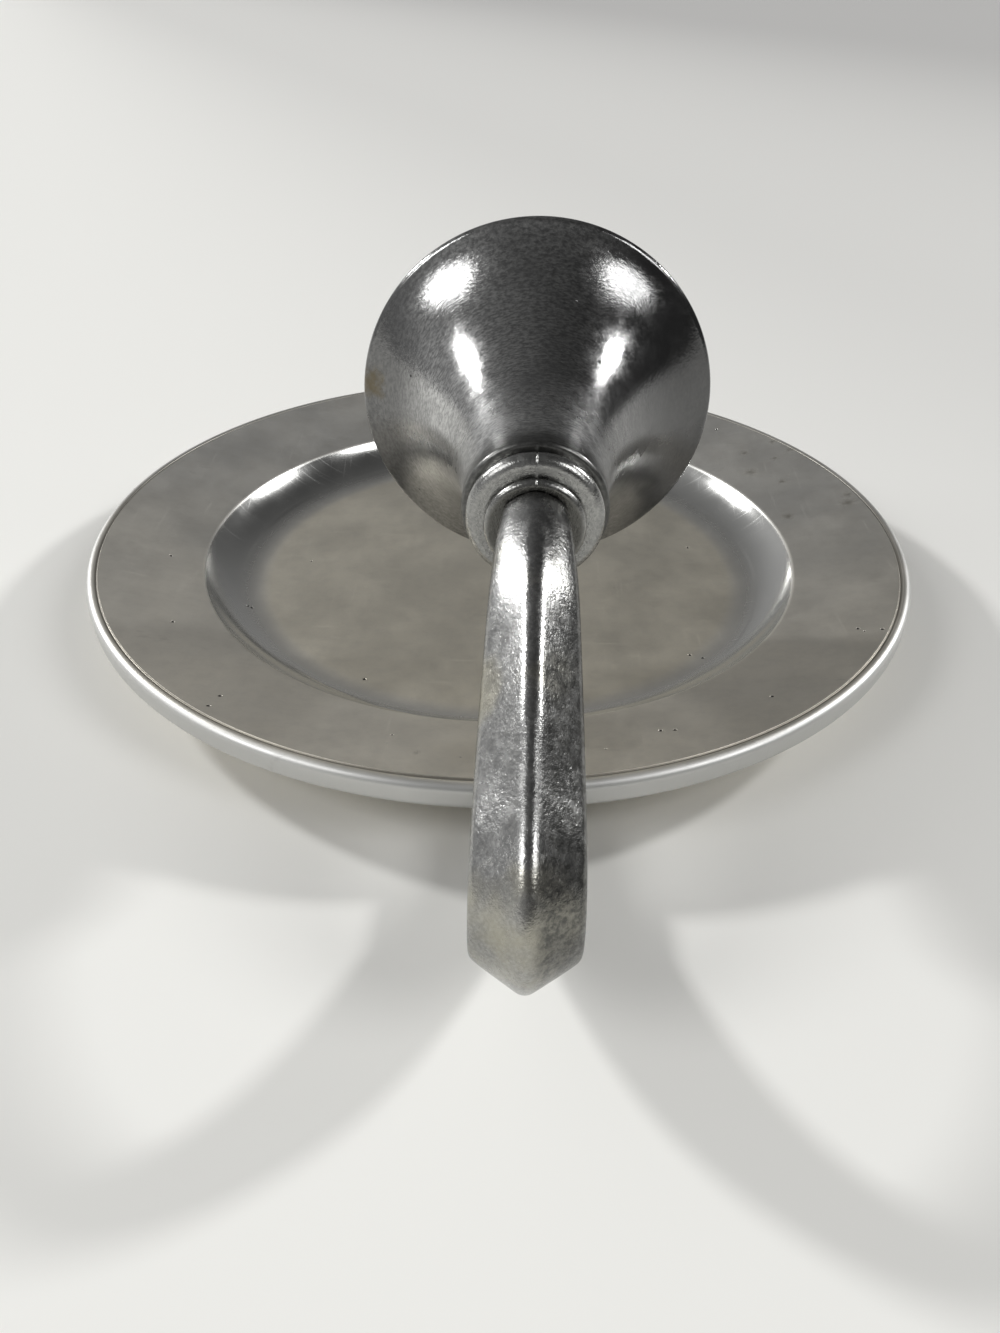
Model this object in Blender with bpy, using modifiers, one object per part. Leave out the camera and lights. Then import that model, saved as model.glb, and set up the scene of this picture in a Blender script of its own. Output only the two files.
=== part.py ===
"""Wall candle plate: a dished metal plate with a curved arm that carries a flared candle cup.

The plate lies on its back, as it is stored, face up (+Z). The arm comes out from behind the rim towards
-Y, which is down when the plate hangs, and swings round to the cup, which opens towards +Y, then up.
Lengths are in metres.
"""

import math

import bmesh
import bpy
import numpy as np

# Plate
PLATE_RADIUS = 0.110
PLATE_HEIGHT = 0.0185
WELL_RADIUS = 0.0814
FLOOR_THICKNESS = 0.0034
COVE_RADIUS = 0.0193
COVE_ANGLE = math.radians(56)
LIP_ROUND = 0.0016
EDGE_THICKNESS = 0.0062
EDGE_ROUND = 0.0018
BEAD_WIDTH = 0.0026
BEAD_GROOVE = 0.0002
HANG_HOLE_RADIUS = 0.0023
HANG_HOLE_INSET = 0.0115

# Arm: a tongue behind the rim, and a keeled bow that swings out and back over to the collar
ARM_OFFSET = 0.0090
ARM_FOOT_WIDTH = 0.0176
ARM_HEIGHT = 0.0110
KEEL_HEIGHT = 0.0060
KEEL_ROUND = 0.0024
ARM_EDGE_ROUND = 0.0010
FACET_SHARES = (0.96, 0.84, 0.64, 0.44, 0.26, 0.13)
ARM_TAPER_POWER = 4.0
BOW_OUTSET = 0.0120
BOW_RISE = math.radians(16)
BOW_LOW_HANDLE = 0.0793
BOW_HIGH_HANDLE = 0.0180
NECK_START = 0.70
ARM_END_WIDTH = 0.0119
ARM_END_HEIGHT = 0.0142
ARM_END_KEEL = 0.0044
ARM_END_CROWN = 0.7
ARM_END_RISE = 0.0078
TONGUE_WIDTH = 0.0150
TONGUE_STEP = 0.0007
TONGUE_ROOT = 0.0030

# Collar and cup, along the cup's axis from the arm's end
CUP_AXIS_Z = 0.0647
CUP_BASE_Y = -0.0850
COLLAR_LENGTH = 0.0064
BEAD_RADIUS = 0.0128
BEAD_HALF_WIDTH = 0.0020
RING_RADIUS = 0.0093
RING_HALF_WIDTH = 0.0011
NECK_RADIUS = 0.0082
TENON_RADIUS = 0.0045
CUP_LENGTH = 0.0542
CUP_RIM_RADIUS = 0.0386
CUP_STRAIGHT = 0.0050
CUP_FLARE_POWER = 1.7
CUP_FLARE_CUT = 0.985
CUP_RIM_DENSITY = 1.6
CUP_BASE_ROUND = 0.0010
CUP_BASE_THICKNESS = 0.0060
CUP_WALL = 0.0026
SOCKET_RADIUS = 0.0112
SOCKET_DEPTH = 0.0140

# Fasteners
WASHER_RADIUS = 0.0078
WASHER_THICKNESS = 0.0014
CUP_SCREW_RADIUS = 0.0024
CUP_SCREW_HEAD_RADIUS = 0.0045
CUP_SCREW_HEAD_HEIGHT = 0.0030
CUP_SCREW_REACH = 0.0120
FOOT_SCREW_RADIUS = 0.0020
FOOT_SCREW_HEAD_RADIUS = 0.0034
FOOT_SCREW_HEAD_HEIGHT = 0.0022
FOOT_SCREW_BITE = 0.0030
FOOT_SCREW_INSETS = (0.0070, 0.0155)
HEAD_RECESS = 0.0005
SLOT_WIDTH = 0.0010
SLOT_DEPTH = 0.0011
HEAD_FLAT_SHARE = 0.6
HEAD_DOME_SHARE = 0.45
POINT_CHAMFER_SHARE = 0.35

# Clearance between pieces, and how finely curves are drawn
GAP = 0.0003
PLATE_STEPS = 64
CUP_STEPS = 48
SMALL_STEPS = 20
COLLAR_STEPS = 36
TINY = 1e-5
FULL_TURN = 2 * math.pi

ALUMINIUM_POLISHED = ((0.60, 0.59, 0.56), 0.22)
ALUMINIUM_CAST = ((0.52, 0.51, 0.49), 0.36)
ALUMINIUM_TURNED = ((0.57, 0.56, 0.53), 0.26)
STEEL_PLATED = ((0.42, 0.41, 0.39), 0.32)


def clear_scene():
    for old in list(bpy.data.objects):
        bpy.data.objects.remove(old, do_unlink=True)


def new_collection(name):
    group = bpy.data.collections.new(name)
    bpy.context.scene.collection.children.link(group)
    return group


def metal(name, finish):
    """A metal finish given as a colour and a roughness."""
    colour, roughness = finish
    made = bpy.data.materials.new(name)
    made.use_nodes = True
    shader = made.node_tree.nodes["Principled BSDF"]
    shader.inputs["Base Color"].default_value = (*colour, 1.0)
    shader.inputs["Roughness"].default_value = roughness
    shader.inputs["Metallic"].default_value = 1.0
    return made


def arc(centre, radius, start, end, count):
    """Points on a circular arc in the profile plane, angles measured from the outward radius."""
    angles = np.linspace(start, end, count)
    return [(centre[0] + radius * math.cos(a), centre[1] + radius * math.sin(a)) for a in angles]


def turned(name, profile, steps, group, closed=False):
    """A body of revolution about its own Z from (radius, height) points that run down its outer side."""
    shape = bpy.data.meshes.new(name)
    count = len(profile)
    edges = [(i, i + 1) for i in range(count - 1)]
    if closed:
        edges.append((count - 1, 0))
    shape.from_pydata([(r, 0.0, z) for r, z in profile], edges, [])
    body = bpy.data.objects.new(name, shape)
    group.objects.link(body)
    screw = body.modifiers.new("turn", "SCREW")
    screw.axis = "Z"
    screw.angle = FULL_TURN
    screw.steps = steps
    screw.render_steps = steps
    screw.use_merge_vertices = True
    screw.merge_threshold = TINY
    screw.use_smooth_shade = True
    return body


def rod(name, radius, length, steps, group):
    """A plain round bar that stands on its origin, along its own Z."""
    shape = bpy.data.meshes.new(name)
    work = bmesh.new()
    bmesh.ops.create_cone(work, cap_ends=True, segments=steps, radius1=radius, radius2=radius, depth=length)
    bmesh.ops.translate(work, verts=work.verts, vec=(0, 0, length / 2))
    work.to_mesh(shape)
    work.free()
    body = bpy.data.objects.new(name, shape)
    group.objects.link(body)
    return body


def block(name, size, group):
    """A rectangular bar centred on its origin."""
    shape = bpy.data.meshes.new(name)
    work = bmesh.new()
    bmesh.ops.create_cube(work, size=1.0)
    bmesh.ops.scale(work, verts=work.verts, vec=size)
    work.to_mesh(shape)
    work.free()
    body = bpy.data.objects.new(name, shape)
    group.objects.link(body)
    return body


def as_tool(body):
    body.hide_render = True
    body.display_type = "WIRE"
    return body


def combine(body, tool, operation):
    """Cut or join with an exact Boolean that stays live on the body."""
    step = body.modifiers.new(tool.name, "BOOLEAN")
    step.operation = operation
    step.solver = "EXACT"
    step.object = as_tool(tool)


def lay_along_y(body, x, y, z):
    """Turn a body's own Z to point along +Y and put its origin in place."""
    body.rotation_euler = (-math.pi / 2, 0, 0)
    body.location = (x, y, z)


# Plate profile: heights of the upper face and the underside at a given radius

COVE_CENTRE_R = WELL_RADIUS - COVE_RADIUS * math.sin(COVE_ANGLE)
COVE_CENTRE_Z = FLOOR_THICKNESS + COVE_RADIUS
WELL_EDGE_Z = COVE_CENTRE_Z - COVE_RADIUS * math.cos(COVE_ANGLE)
UNDER_RADIUS = COVE_RADIUS + FLOOR_THICKNESS
UNDER_START_R = COVE_CENTRE_R + UNDER_RADIUS * math.sin(COVE_ANGLE)
UNDER_START_Z = COVE_CENTRE_Z - UNDER_RADIUS * math.cos(COVE_ANGLE)
EDGE_BOTTOM_Z = PLATE_HEIGHT - EDGE_THICKNESS
UNDER_SLOPE = (EDGE_BOTTOM_Z - UNDER_START_Z) / (PLATE_RADIUS - EDGE_ROUND - UNDER_START_R)
BEAD_INNER_R = PLATE_RADIUS - BEAD_WIDTH
RIM_SLOPE = math.atan2(PLATE_HEIGHT - WELL_EDGE_Z, BEAD_INNER_R - WELL_RADIUS)


def underside(radius):
    """Height of the rim's underside."""
    return UNDER_START_Z + UNDER_SLOPE * (radius - UNDER_START_R)


def plate_profile():
    """Floor, cove, rounded lip, sloping rim, thin groove, edge bead, underside and flat back."""
    points = [(0.0, FLOOR_THICKNESS)]
    half_corner = (COVE_ANGLE - RIM_SLOPE) / 2
    trim = LIP_ROUND * math.tan(half_corner)
    cove_end = COVE_ANGLE - trim / COVE_RADIUS
    points += arc((COVE_CENTRE_R, COVE_CENTRE_Z), COVE_RADIUS, -math.pi / 2, cove_end - math.pi / 2, 8)
    rim_r = WELL_RADIUS + trim * math.cos(RIM_SLOPE)
    rim_z = WELL_EDGE_Z + trim * math.sin(RIM_SLOPE)
    lip = (rim_r + LIP_ROUND * math.sin(RIM_SLOPE), rim_z - LIP_ROUND * math.cos(RIM_SLOPE))
    points += arc(lip, LIP_ROUND, math.pi / 2 + cove_end, math.pi / 2 + RIM_SLOPE, 4)[1:]
    points.append((BEAD_INNER_R - 2 * BEAD_GROOVE, PLATE_HEIGHT - 2 * BEAD_GROOVE * math.sin(RIM_SLOPE)))
    points.append((BEAD_INNER_R, PLATE_HEIGHT - 2 * BEAD_GROOVE))
    points.append((BEAD_INNER_R + 2 * BEAD_GROOVE, PLATE_HEIGHT - BEAD_GROOVE / 2))
    outer = PLATE_RADIUS - EDGE_ROUND
    points += arc((outer, PLATE_HEIGHT - EDGE_ROUND), EDGE_ROUND, math.pi / 2, 0, 5)
    points += arc((outer, EDGE_BOTTOM_Z + EDGE_ROUND), EDGE_ROUND, 0, -math.pi / 2, 4)
    points += arc((COVE_CENTRE_R, COVE_CENTRE_Z), UNDER_RADIUS, COVE_ANGLE - math.pi / 2, -math.pi / 2, 7)
    points.append((0.0, 0.0))
    return points


# Arm: keeled sections carried along a line that follows the inner face of the bow

BOW_KEEL_Y = -PLATE_RADIUS - BOW_OUTSET
BOW_START_Y = BOW_KEEL_Y + ARM_HEIGHT * math.sin(BOW_RISE)
BOW_START_Z = GAP + ARM_HEIGHT * math.cos(BOW_RISE)
TONGUE_BACK_Z = 2 * GAP
TONGUE_TOP = underside(PLATE_RADIUS) + TONGUE_STEP
FOOT_SEAT_Z = TONGUE_BACK_Z + HEAD_RECESS + FOOT_SCREW_HEAD_HEIGHT + GAP
ARM_END_Y = CUP_BASE_Y - COLLAR_LENGTH - 2 * GAP
ARM_END_INNER_Z = CUP_AXIS_Z + ARM_END_RISE - ARM_END_HEIGHT


def ease(t):
    """Smooth step from 0 to 1."""
    t = min(max(t, 0.0), 1.0)
    return t * t * (3 - 2 * t)


def mix(a, b, t):
    return a + (b - a) * t


def roof(x, half, side, keel, crown):
    """Height of a section's outer side at x from its middle: flat facets and a rounded keel, or an arch."""
    slope = math.atan2(keel, half)
    top = side + keel
    flat = top - x * math.tan(slope)
    if x < KEEL_ROUND * math.sin(slope):
        flat = top - KEEL_ROUND / math.cos(slope) + math.sqrt(KEEL_ROUND ** 2 - x ** 2)
    arch = side + keel * math.sqrt(1 - (x / half) ** 2)
    return mix(flat, arch, crown)


def arm_section(width, height, keel, crown):
    """Half outline, then its mirror: flat inner face, straight cheek, facet and keel."""
    half = width / 2
    side = height - keel
    right = [(half - ARM_EDGE_ROUND, 0.0), (half, ARM_EDGE_ROUND), (half, side - ARM_EDGE_ROUND / 2)]
    for share in FACET_SHARES:
        right.append((half * share, roof(half * share, half, side, keel, crown)))
    left = [(-u, v) for u, v in reversed(right)]
    return right + [(0.0, roof(0.0, half, side, keel, crown))] + left


def inner_line(t):
    """Inner face of the bow: a curve that rises a little from the wall, swings round and ends level."""
    base = (BOW_START_Y, BOW_START_Z)
    low = (base[0] - BOW_LOW_HANDLE * math.cos(BOW_RISE), base[1] + BOW_LOW_HANDLE * math.sin(BOW_RISE))
    high = (ARM_END_Y - BOW_HIGH_HANDLE, ARM_END_INNER_Z)
    end = (ARM_END_Y, ARM_END_INNER_Z)
    shares = ((1 - t) ** 3, 3 * t * (1 - t) ** 2, 3 * t * t * (1 - t), t ** 3)
    along = list(zip(shares, (base, low, high, end)))
    return sum(share * place[0] for share, place in along), sum(share * place[1] for share, place in along)


def arm_stations():
    """Places along the arm: point on the inner face, outward direction, width, height, keel, crown."""
    stations = []
    for t in np.linspace(0, 1, 37):
        ahead, behind = inner_line(t + TINY), inner_line(t - TINY)
        lean = math.atan2(ahead[0] - behind[0], ahead[1] - behind[1])
        out = (-math.cos(lean), math.sin(lean))
        taper = t ** ARM_TAPER_POWER
        neck = ease((t - NECK_START) / (1 - NECK_START))
        stations.append((
            inner_line(t),
            out,
            mix(ARM_FOOT_WIDTH, ARM_END_WIDTH, taper),
            mix(ARM_HEIGHT, ARM_END_HEIGHT, neck),
            mix(KEEL_HEIGHT, ARM_END_KEEL, taper),
            ARM_END_CROWN * neck * neck,
        ))
    return stations


def loft_arm(name, group):
    """Skin the keeled sections from the tongue to the collar and close both ends."""
    work = bmesh.new()
    rings = []
    for (y, z), out, *sizes in arm_stations():
        section = arm_section(*sizes)
        rings.append([work.verts.new((ARM_OFFSET + u, y + out[0] * v, z + out[1] * v)) for u, v in section])
    for ring, following in zip(rings, rings[1:]):
        count = len(ring)
        for i in range(count):
            j = (i + 1) % count
            work.faces.new((ring[i], ring[j], following[j], following[i]))
    work.faces.new(rings[0])
    work.faces.new(rings[-1])
    bmesh.ops.triangulate(work, faces=[f for f in work.faces if len(f.verts) > 4])
    bmesh.ops.recalc_face_normals(work, faces=work.faces)
    shape = bpy.data.meshes.new(name)
    work.to_mesh(shape)
    work.free()
    shape.shade_smooth()
    shape.set_sharp_from_angle(angle=math.radians(25))
    body = bpy.data.objects.new(name, shape)
    group.objects.link(body)
    return body


def tongue(name, group):
    """The flat bar behind the rim: straight sides, and a round nose about the inner foot screw."""
    half = TONGUE_WIDTH / 2
    nose_y = FOOT_SCREW_INSETS[-1] - PLATE_RADIUS
    root_y = BOW_KEEL_Y - TONGUE_ROOT
    outline = [(-half, root_y), (half, root_y)] + arc((0, nose_y), half, 0, math.pi, SMALL_STEPS)
    work = bmesh.new()
    low = [work.verts.new((ARM_OFFSET + x, y, TONGUE_BACK_Z)) for x, y in outline]
    made = bmesh.ops.extrude_face_region(work, geom=[work.faces.new(low)])
    raised = [item for item in made["geom"] if isinstance(item, bmesh.types.BMVert)]
    bmesh.ops.translate(work, verts=raised, vec=(0, 0, TONGUE_TOP - TONGUE_BACK_Z))
    bmesh.ops.recalc_face_normals(work, faces=work.faces)
    shape = bpy.data.meshes.new(name)
    work.to_mesh(shape)
    work.free()
    body = bpy.data.objects.new(name, shape)
    group.objects.link(body)
    return body


# Cup profile along its own axis, from the base (0) to the rim (CUP_LENGTH)

CUP_BODY_RADIUS = SOCKET_RADIUS + CUP_WALL


def flare_share(height):
    """How far along the flare a height lies, on the scale of the curve below."""
    return CUP_FLARE_CUT * max(0.0, (height - CUP_STRAIGHT) / (CUP_LENGTH - CUP_STRAIGHT))


def trumpet(share):
    """A quarter of a squared circle: level at first, then turning out ever faster."""
    return 1 - (1 - share ** CUP_FLARE_POWER) ** (1 / CUP_FLARE_POWER)


FLARE_SCALE = (CUP_RIM_RADIUS - CUP_BODY_RADIUS) / trumpet(CUP_FLARE_CUT)


def flare(height):
    """Outer radius of the cup: straight body, then a trumpet."""
    return CUP_BODY_RADIUS + FLARE_SCALE * trumpet(flare_share(height))


def flare_slope(height):
    """How far the outer radius grows for each unit of height."""
    share = flare_share(height)
    bend = (1 - share ** CUP_FLARE_POWER) ** (1 / CUP_FLARE_POWER - 1)
    rate = bend * share ** (CUP_FLARE_POWER - 1)
    return FLARE_SCALE * rate * CUP_FLARE_CUT / (CUP_LENGTH - CUP_STRAIGHT)


def rim_to(low, count):
    """Heights from the rim down to a lower one, closer together near the rim."""
    return CUP_LENGTH - (CUP_LENGTH - low) * np.linspace(0, 1, count) ** CUP_RIM_DENSITY


def cup_profile():
    """Outside from rim to base, then the bore, the straight socket, a ledge and the inside of the flare."""
    outer = [(flare(height), height) for height in rim_to(CUP_STRAIGHT, 16)]
    inner = []
    socket_top = CUP_BASE_THICKNESS + SOCKET_DEPTH
    for height in rim_to(socket_top + CUP_WALL, 12):
        slope = math.atan(flare_slope(height))
        inner.append((flare(height) - CUP_WALL * math.cos(slope), height + CUP_WALL * math.sin(slope)))
    lip = ((outer[0][0] + inner[0][0]) / 2, (outer[0][1] + inner[0][1]) / 2)
    tilt = math.atan(flare_slope(CUP_LENGTH))
    lip_arc = arc(lip, CUP_WALL / 2, math.pi - tilt, -tilt, 6)[1:-1]
    corner = (CUP_BODY_RADIUS - CUP_BASE_ROUND, CUP_BASE_ROUND)
    bore = TENON_RADIUS + GAP
    base = arc(corner, CUP_BASE_ROUND, 0, -math.pi / 2, 5)
    socket = [(SOCKET_RADIUS, CUP_BASE_THICKNESS), (SOCKET_RADIUS, socket_top)]
    return outer + base + [(bore, 0.0), (bore, CUP_BASE_THICKNESS)] + socket + inner[::-1] + lip_arc


def collar_profile():
    """Small ring next to the arm, a neck, then the large bead next to the cup."""
    bore = TENON_RADIUS + GAP
    ring_centre = (RING_RADIUS - RING_HALF_WIDTH, RING_HALF_WIDTH)
    ring = arc(ring_centre, RING_HALF_WIDTH, math.pi / 2, -math.pi / 2, 6)
    bead_z = COLLAR_LENGTH - BEAD_HALF_WIDTH
    bead = arc((BEAD_RADIUS - BEAD_HALF_WIDTH, bead_z), BEAD_HALF_WIDTH, math.pi / 2, -math.pi / 2, 9)
    neck_top = bead_z - BEAD_HALF_WIDTH
    neck = [(NECK_RADIUS, neck_top), (NECK_RADIUS, 2 * RING_HALF_WIDTH)]
    return [(bore, COLLAR_LENGTH)] + bead + neck + ring + [(bore, 0.0)]


def washer_profile():
    bore = CUP_SCREW_RADIUS + GAP
    return [
        (bore, WASHER_THICKNESS),
        (WASHER_RADIUS, WASHER_THICKNESS),
        (WASHER_RADIUS, 0.0),
        (bore, 0.0),
    ]


def screw_profile(shank_radius, reach, head_radius, head_height):
    """Rounded head above zero, shank and chamfered point below."""
    dome = head_height * HEAD_DOME_SHARE
    flat = head_radius * HEAD_FLAT_SHARE
    quarter = math.sqrt(0.5)
    chamfer = shank_radius * POINT_CHAMFER_SHARE
    return [
        (0.0, head_height),
        (flat, head_height),
        (mix(flat, head_radius, quarter), head_height - dome * (1 - quarter)),
        (head_radius, head_height - dome),
        (head_radius, 0.0),
        (shank_radius, 0.0),
        (shank_radius, chamfer - reach),
        (shank_radius - chamfer, -reach),
        (0.0, -reach),
    ]


def slotted_screw(name, profile, head_radius, head_height, parts, tools):
    """A turned screw with a slot sawn across its head."""
    body = turned(name, profile, SMALL_STEPS, parts)
    slot = block(name + "_slot", (SLOT_WIDTH, 3 * head_radius, 2 * SLOT_DEPTH), tools)
    slot.parent = body
    slot.location = (0, 0, head_height)
    combine(body, slot, "DIFFERENCE")
    return body


def foot_places():
    """Each foot screw's number, its distance along -Y, and the height of its point inside the rim."""
    for number, inset in enumerate(FOOT_SCREW_INSETS, 1):
        place = PLATE_RADIUS - inset
        yield number, place, underside(math.hypot(place, ARM_OFFSET)) + FOOT_SCREW_BITE


def make_plate(parts, tools):
    plate = turned("reflector_plate", plate_profile(), PLATE_STEPS, parts)
    hole = rod("hang_hole", HANG_HOLE_RADIUS, 3 * PLATE_HEIGHT, SMALL_STEPS, tools)
    hole.location = (0, PLATE_RADIUS - HANG_HOLE_INSET, -PLATE_HEIGHT)
    combine(plate, hole, "DIFFERENCE")
    for number, place, point in foot_places():
        tapped = rod(f"rim_hole_{number}", FOOT_SCREW_RADIUS + GAP, PLATE_HEIGHT, SMALL_STEPS, tools)
        tapped.location = (ARM_OFFSET, -place, point + GAP - PLATE_HEIGHT)
        combine(plate, tapped, "DIFFERENCE")
    plate.data.materials.append(metal("polished_plate", ALUMINIUM_POLISHED))
    return plate


def rim_seat(tools):
    """The space that the rim fills, one gap larger, which is cut out of the arm's tongue."""
    reach = PLATE_RADIUS + GAP
    inner = PLATE_RADIUS / 2
    profile = [
        (inner, 2 * PLATE_HEIGHT),
        (reach, 2 * PLATE_HEIGHT),
        (reach, underside(reach) - GAP),
        (inner, underside(inner) - GAP),
    ]
    return turned("rim_seat", profile, PLATE_STEPS, tools, closed=True)


def make_arm(parts, tools):
    arm = loft_arm("sconce_arm", parts)
    combine(arm, tongue("arm_tongue", tools), "UNION")
    combine(arm, rim_seat(tools), "DIFFERENCE")
    tenon_end = CUP_BASE_Y + CUP_BASE_THICKNESS - GAP
    root = ARM_END_Y - ARM_END_HEIGHT / 2
    tenon = rod("tenon", TENON_RADIUS, tenon_end - root, SMALL_STEPS, tools)
    lay_along_y(tenon, ARM_OFFSET, root, CUP_AXIS_Z)
    combine(arm, tenon, "UNION")
    depth = CUP_SCREW_REACH + CUP_SCREW_RADIUS
    tapped = rod("tenon_hole", CUP_SCREW_RADIUS + GAP, depth + TENON_RADIUS, SMALL_STEPS, tools)
    lay_along_y(tapped, ARM_OFFSET, tenon_end - depth, CUP_AXIS_Z)
    combine(arm, tapped, "DIFFERENCE")
    for number, place, _ in foot_places():
        through = rod(f"foot_hole_{number}", FOOT_SCREW_RADIUS + GAP, 2 * PLATE_HEIGHT, SMALL_STEPS, tools)
        through.location = (ARM_OFFSET, -place, -PLATE_HEIGHT / 2)
        combine(arm, through, "DIFFERENCE")
        head = FOOT_SCREW_HEAD_RADIUS + 2 * GAP
        bored = rod(f"counterbore_{number}", head, PLATE_HEIGHT, SMALL_STEPS, tools)
        bored.location = (ARM_OFFSET, -place, FOOT_SEAT_Z - PLATE_HEIGHT)
        combine(arm, bored, "DIFFERENCE")
    arm.data.materials.append(metal("cast_arm", ALUMINIUM_CAST))
    return arm


def make_cup_group(parts, tools):
    collar = turned("arm_collar", collar_profile(), COLLAR_STEPS, parts, closed=True)
    lay_along_y(collar, ARM_OFFSET, ARM_END_Y + GAP, CUP_AXIS_Z)
    collar.data.materials.append(metal("cast_collar", ALUMINIUM_CAST))
    cup = turned("candle_cup", cup_profile(), CUP_STEPS, parts, closed=True)
    lay_along_y(cup, ARM_OFFSET, CUP_BASE_Y, CUP_AXIS_Z)
    cup.data.materials.append(metal("turned_cup", ALUMINIUM_TURNED))
    washer = turned("cup_washer", washer_profile(), SMALL_STEPS, parts, closed=True)
    floor = CUP_BASE_Y + CUP_BASE_THICKNESS
    lay_along_y(washer, ARM_OFFSET, floor + GAP, CUP_AXIS_Z)
    washer.data.materials.append(metal("plated_washer", STEEL_PLATED))
    head_seat = floor + WASHER_THICKNESS + 2 * GAP
    profile = screw_profile(CUP_SCREW_RADIUS, CUP_SCREW_REACH, CUP_SCREW_HEAD_RADIUS, CUP_SCREW_HEAD_HEIGHT)
    fixing = slotted_screw(
        "cup_screw", profile, CUP_SCREW_HEAD_RADIUS, CUP_SCREW_HEAD_HEIGHT, parts, tools
    )
    lay_along_y(fixing, ARM_OFFSET, head_seat, CUP_AXIS_Z)
    fixing.data.materials.append(metal("plated_screw", STEEL_PLATED))


def make_foot_screws(parts, tools):
    """Two screws driven from the back of the arm's tongue up into the rim."""
    bearing = FOOT_SEAT_Z - GAP
    for number, place, point in foot_places():
        reach = point - bearing
        profile = screw_profile(FOOT_SCREW_RADIUS, reach, FOOT_SCREW_HEAD_RADIUS, FOOT_SCREW_HEAD_HEIGHT)
        fixing = slotted_screw(
            f"foot_screw_{number}", profile, FOOT_SCREW_HEAD_RADIUS, FOOT_SCREW_HEAD_HEIGHT, parts, tools
        )
        fixing.rotation_euler = (math.pi, 0, 0)
        fixing.location = (ARM_OFFSET, -place, bearing)
        fixing.data.materials.append(metal(f"plated_foot_screw_{number}", STEEL_PLATED))


clear_scene()
PARTS = new_collection("candle_plate")
TOOLS = new_collection("cutters")
make_plate(PARTS, TOOLS)
make_arm(PARTS, TOOLS)
make_cup_group(PARTS, TOOLS)
make_foot_screws(PARTS, TOOLS)
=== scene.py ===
import math

import bmesh
import bpy
import numpy as np
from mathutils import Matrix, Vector


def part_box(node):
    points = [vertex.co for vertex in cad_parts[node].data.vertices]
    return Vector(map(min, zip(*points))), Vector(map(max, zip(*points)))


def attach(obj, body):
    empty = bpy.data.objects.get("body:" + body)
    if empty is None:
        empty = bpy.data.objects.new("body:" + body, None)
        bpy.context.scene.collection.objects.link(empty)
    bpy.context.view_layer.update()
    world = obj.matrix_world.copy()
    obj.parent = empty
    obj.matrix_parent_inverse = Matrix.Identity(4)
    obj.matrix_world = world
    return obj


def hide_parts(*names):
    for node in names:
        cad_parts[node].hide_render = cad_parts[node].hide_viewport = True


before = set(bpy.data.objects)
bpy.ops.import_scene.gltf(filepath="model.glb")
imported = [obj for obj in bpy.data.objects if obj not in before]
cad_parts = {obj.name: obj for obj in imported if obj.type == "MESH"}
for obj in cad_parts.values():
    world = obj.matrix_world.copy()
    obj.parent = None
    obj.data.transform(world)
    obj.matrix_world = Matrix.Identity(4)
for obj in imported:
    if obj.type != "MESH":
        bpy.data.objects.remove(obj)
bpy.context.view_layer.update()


# Reflector plate
# A dish of spun aluminium: flat floor, polished cove, and a sloping rim with a bead turned on its edge.
# It hangs from a small hole in the rim. Two blind holes under the rim opposite take the arm's screws.

plate_low, plate_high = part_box("reflector_plate")
plate_radius = (plate_high.x - plate_low.x) / 2
plate_height = plate_high.z
plate_sides = 288
well_radius = 0.0814
floor_thickness = 0.0034
cove_radius = 0.0193
cove_angle = 56.0
lip_round = 0.0016
edge_thickness = 0.0062
edge_round = 0.0018
bead_width = 0.0026
bead_groove = 0.0002
hang_hole_radius = 0.0023
hang_hole_inset = 0.0115
foot_hole_radius = 0.0023
fit_gap = 0.0003
drill_start = -0.01
drill_end = 0.04


def arc(centre, radius, start, end, count):
    """Points on a circle: the centre plus the radius times cosine and sine, in degrees from outward."""
    angle = np.radians(np.linspace(start, end, count))
    return np.column_stack((centre[0] + radius * np.cos(angle), centre[1] + radius * np.sin(angle)))


def straight(start, end, count):
    """Points at equal steps on a line, without its two ends."""
    share = np.linspace(0, 1, count + 2)[1:-1, None]
    return np.array(start) * (1 - share) + np.array(end) * share


def turned(profile, angle):
    """A profile swept about Z: x and y are the radius times cosine and sine of each angle, z the height."""
    radius, height = profile[:, :1], profile[:, 1:]
    return np.stack((radius * np.cos(angle), radius * np.sin(angle), height + 0 * angle), axis=-1)


def full_turn(count):
    """Angles at equal steps over one turn."""
    return np.linspace(0, 2 * np.pi, count, endpoint=False)


def bell(value, centre, spread):
    """Bell curve: e to the power of minus the square of the distance from the centre over the spread."""
    return np.exp(-((value - centre) / spread) ** 2)


def grid_faces(rows, columns, ring=False):
    """Quads between neighbours of a grid whose columns close on themselves, and in a ring its rows too."""
    i = np.arange(rows if ring else rows - 1)[:, None]
    j = np.arange(columns)[None, :]
    ahead, beside = (i + 1) % rows, (j + 1) % columns
    corners = (i * columns + j, i * columns + beside, ahead * columns + beside, ahead * columns + j)
    return np.stack(np.broadcast_arrays(*corners), axis=-1).reshape(-1, 4).tolist()


def solid(name, points, faces):
    """A closed mesh from a grid of points, with its poles merged and its faces turned outward."""
    same_place = 1e-7
    shape = bpy.data.meshes.new(name)
    shape.from_pydata(points.reshape(-1, 3).tolist(), [], faces)
    work = bmesh.new()
    work.from_mesh(shape)
    bmesh.ops.remove_doubles(work, verts=work.verts, dist=same_place)
    bmesh.ops.recalc_face_normals(work, faces=work.faces)
    work.to_mesh(shape)
    work.free()
    body = bpy.data.objects.new(name, shape)
    bpy.context.scene.collection.objects.link(body)
    return body


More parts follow.
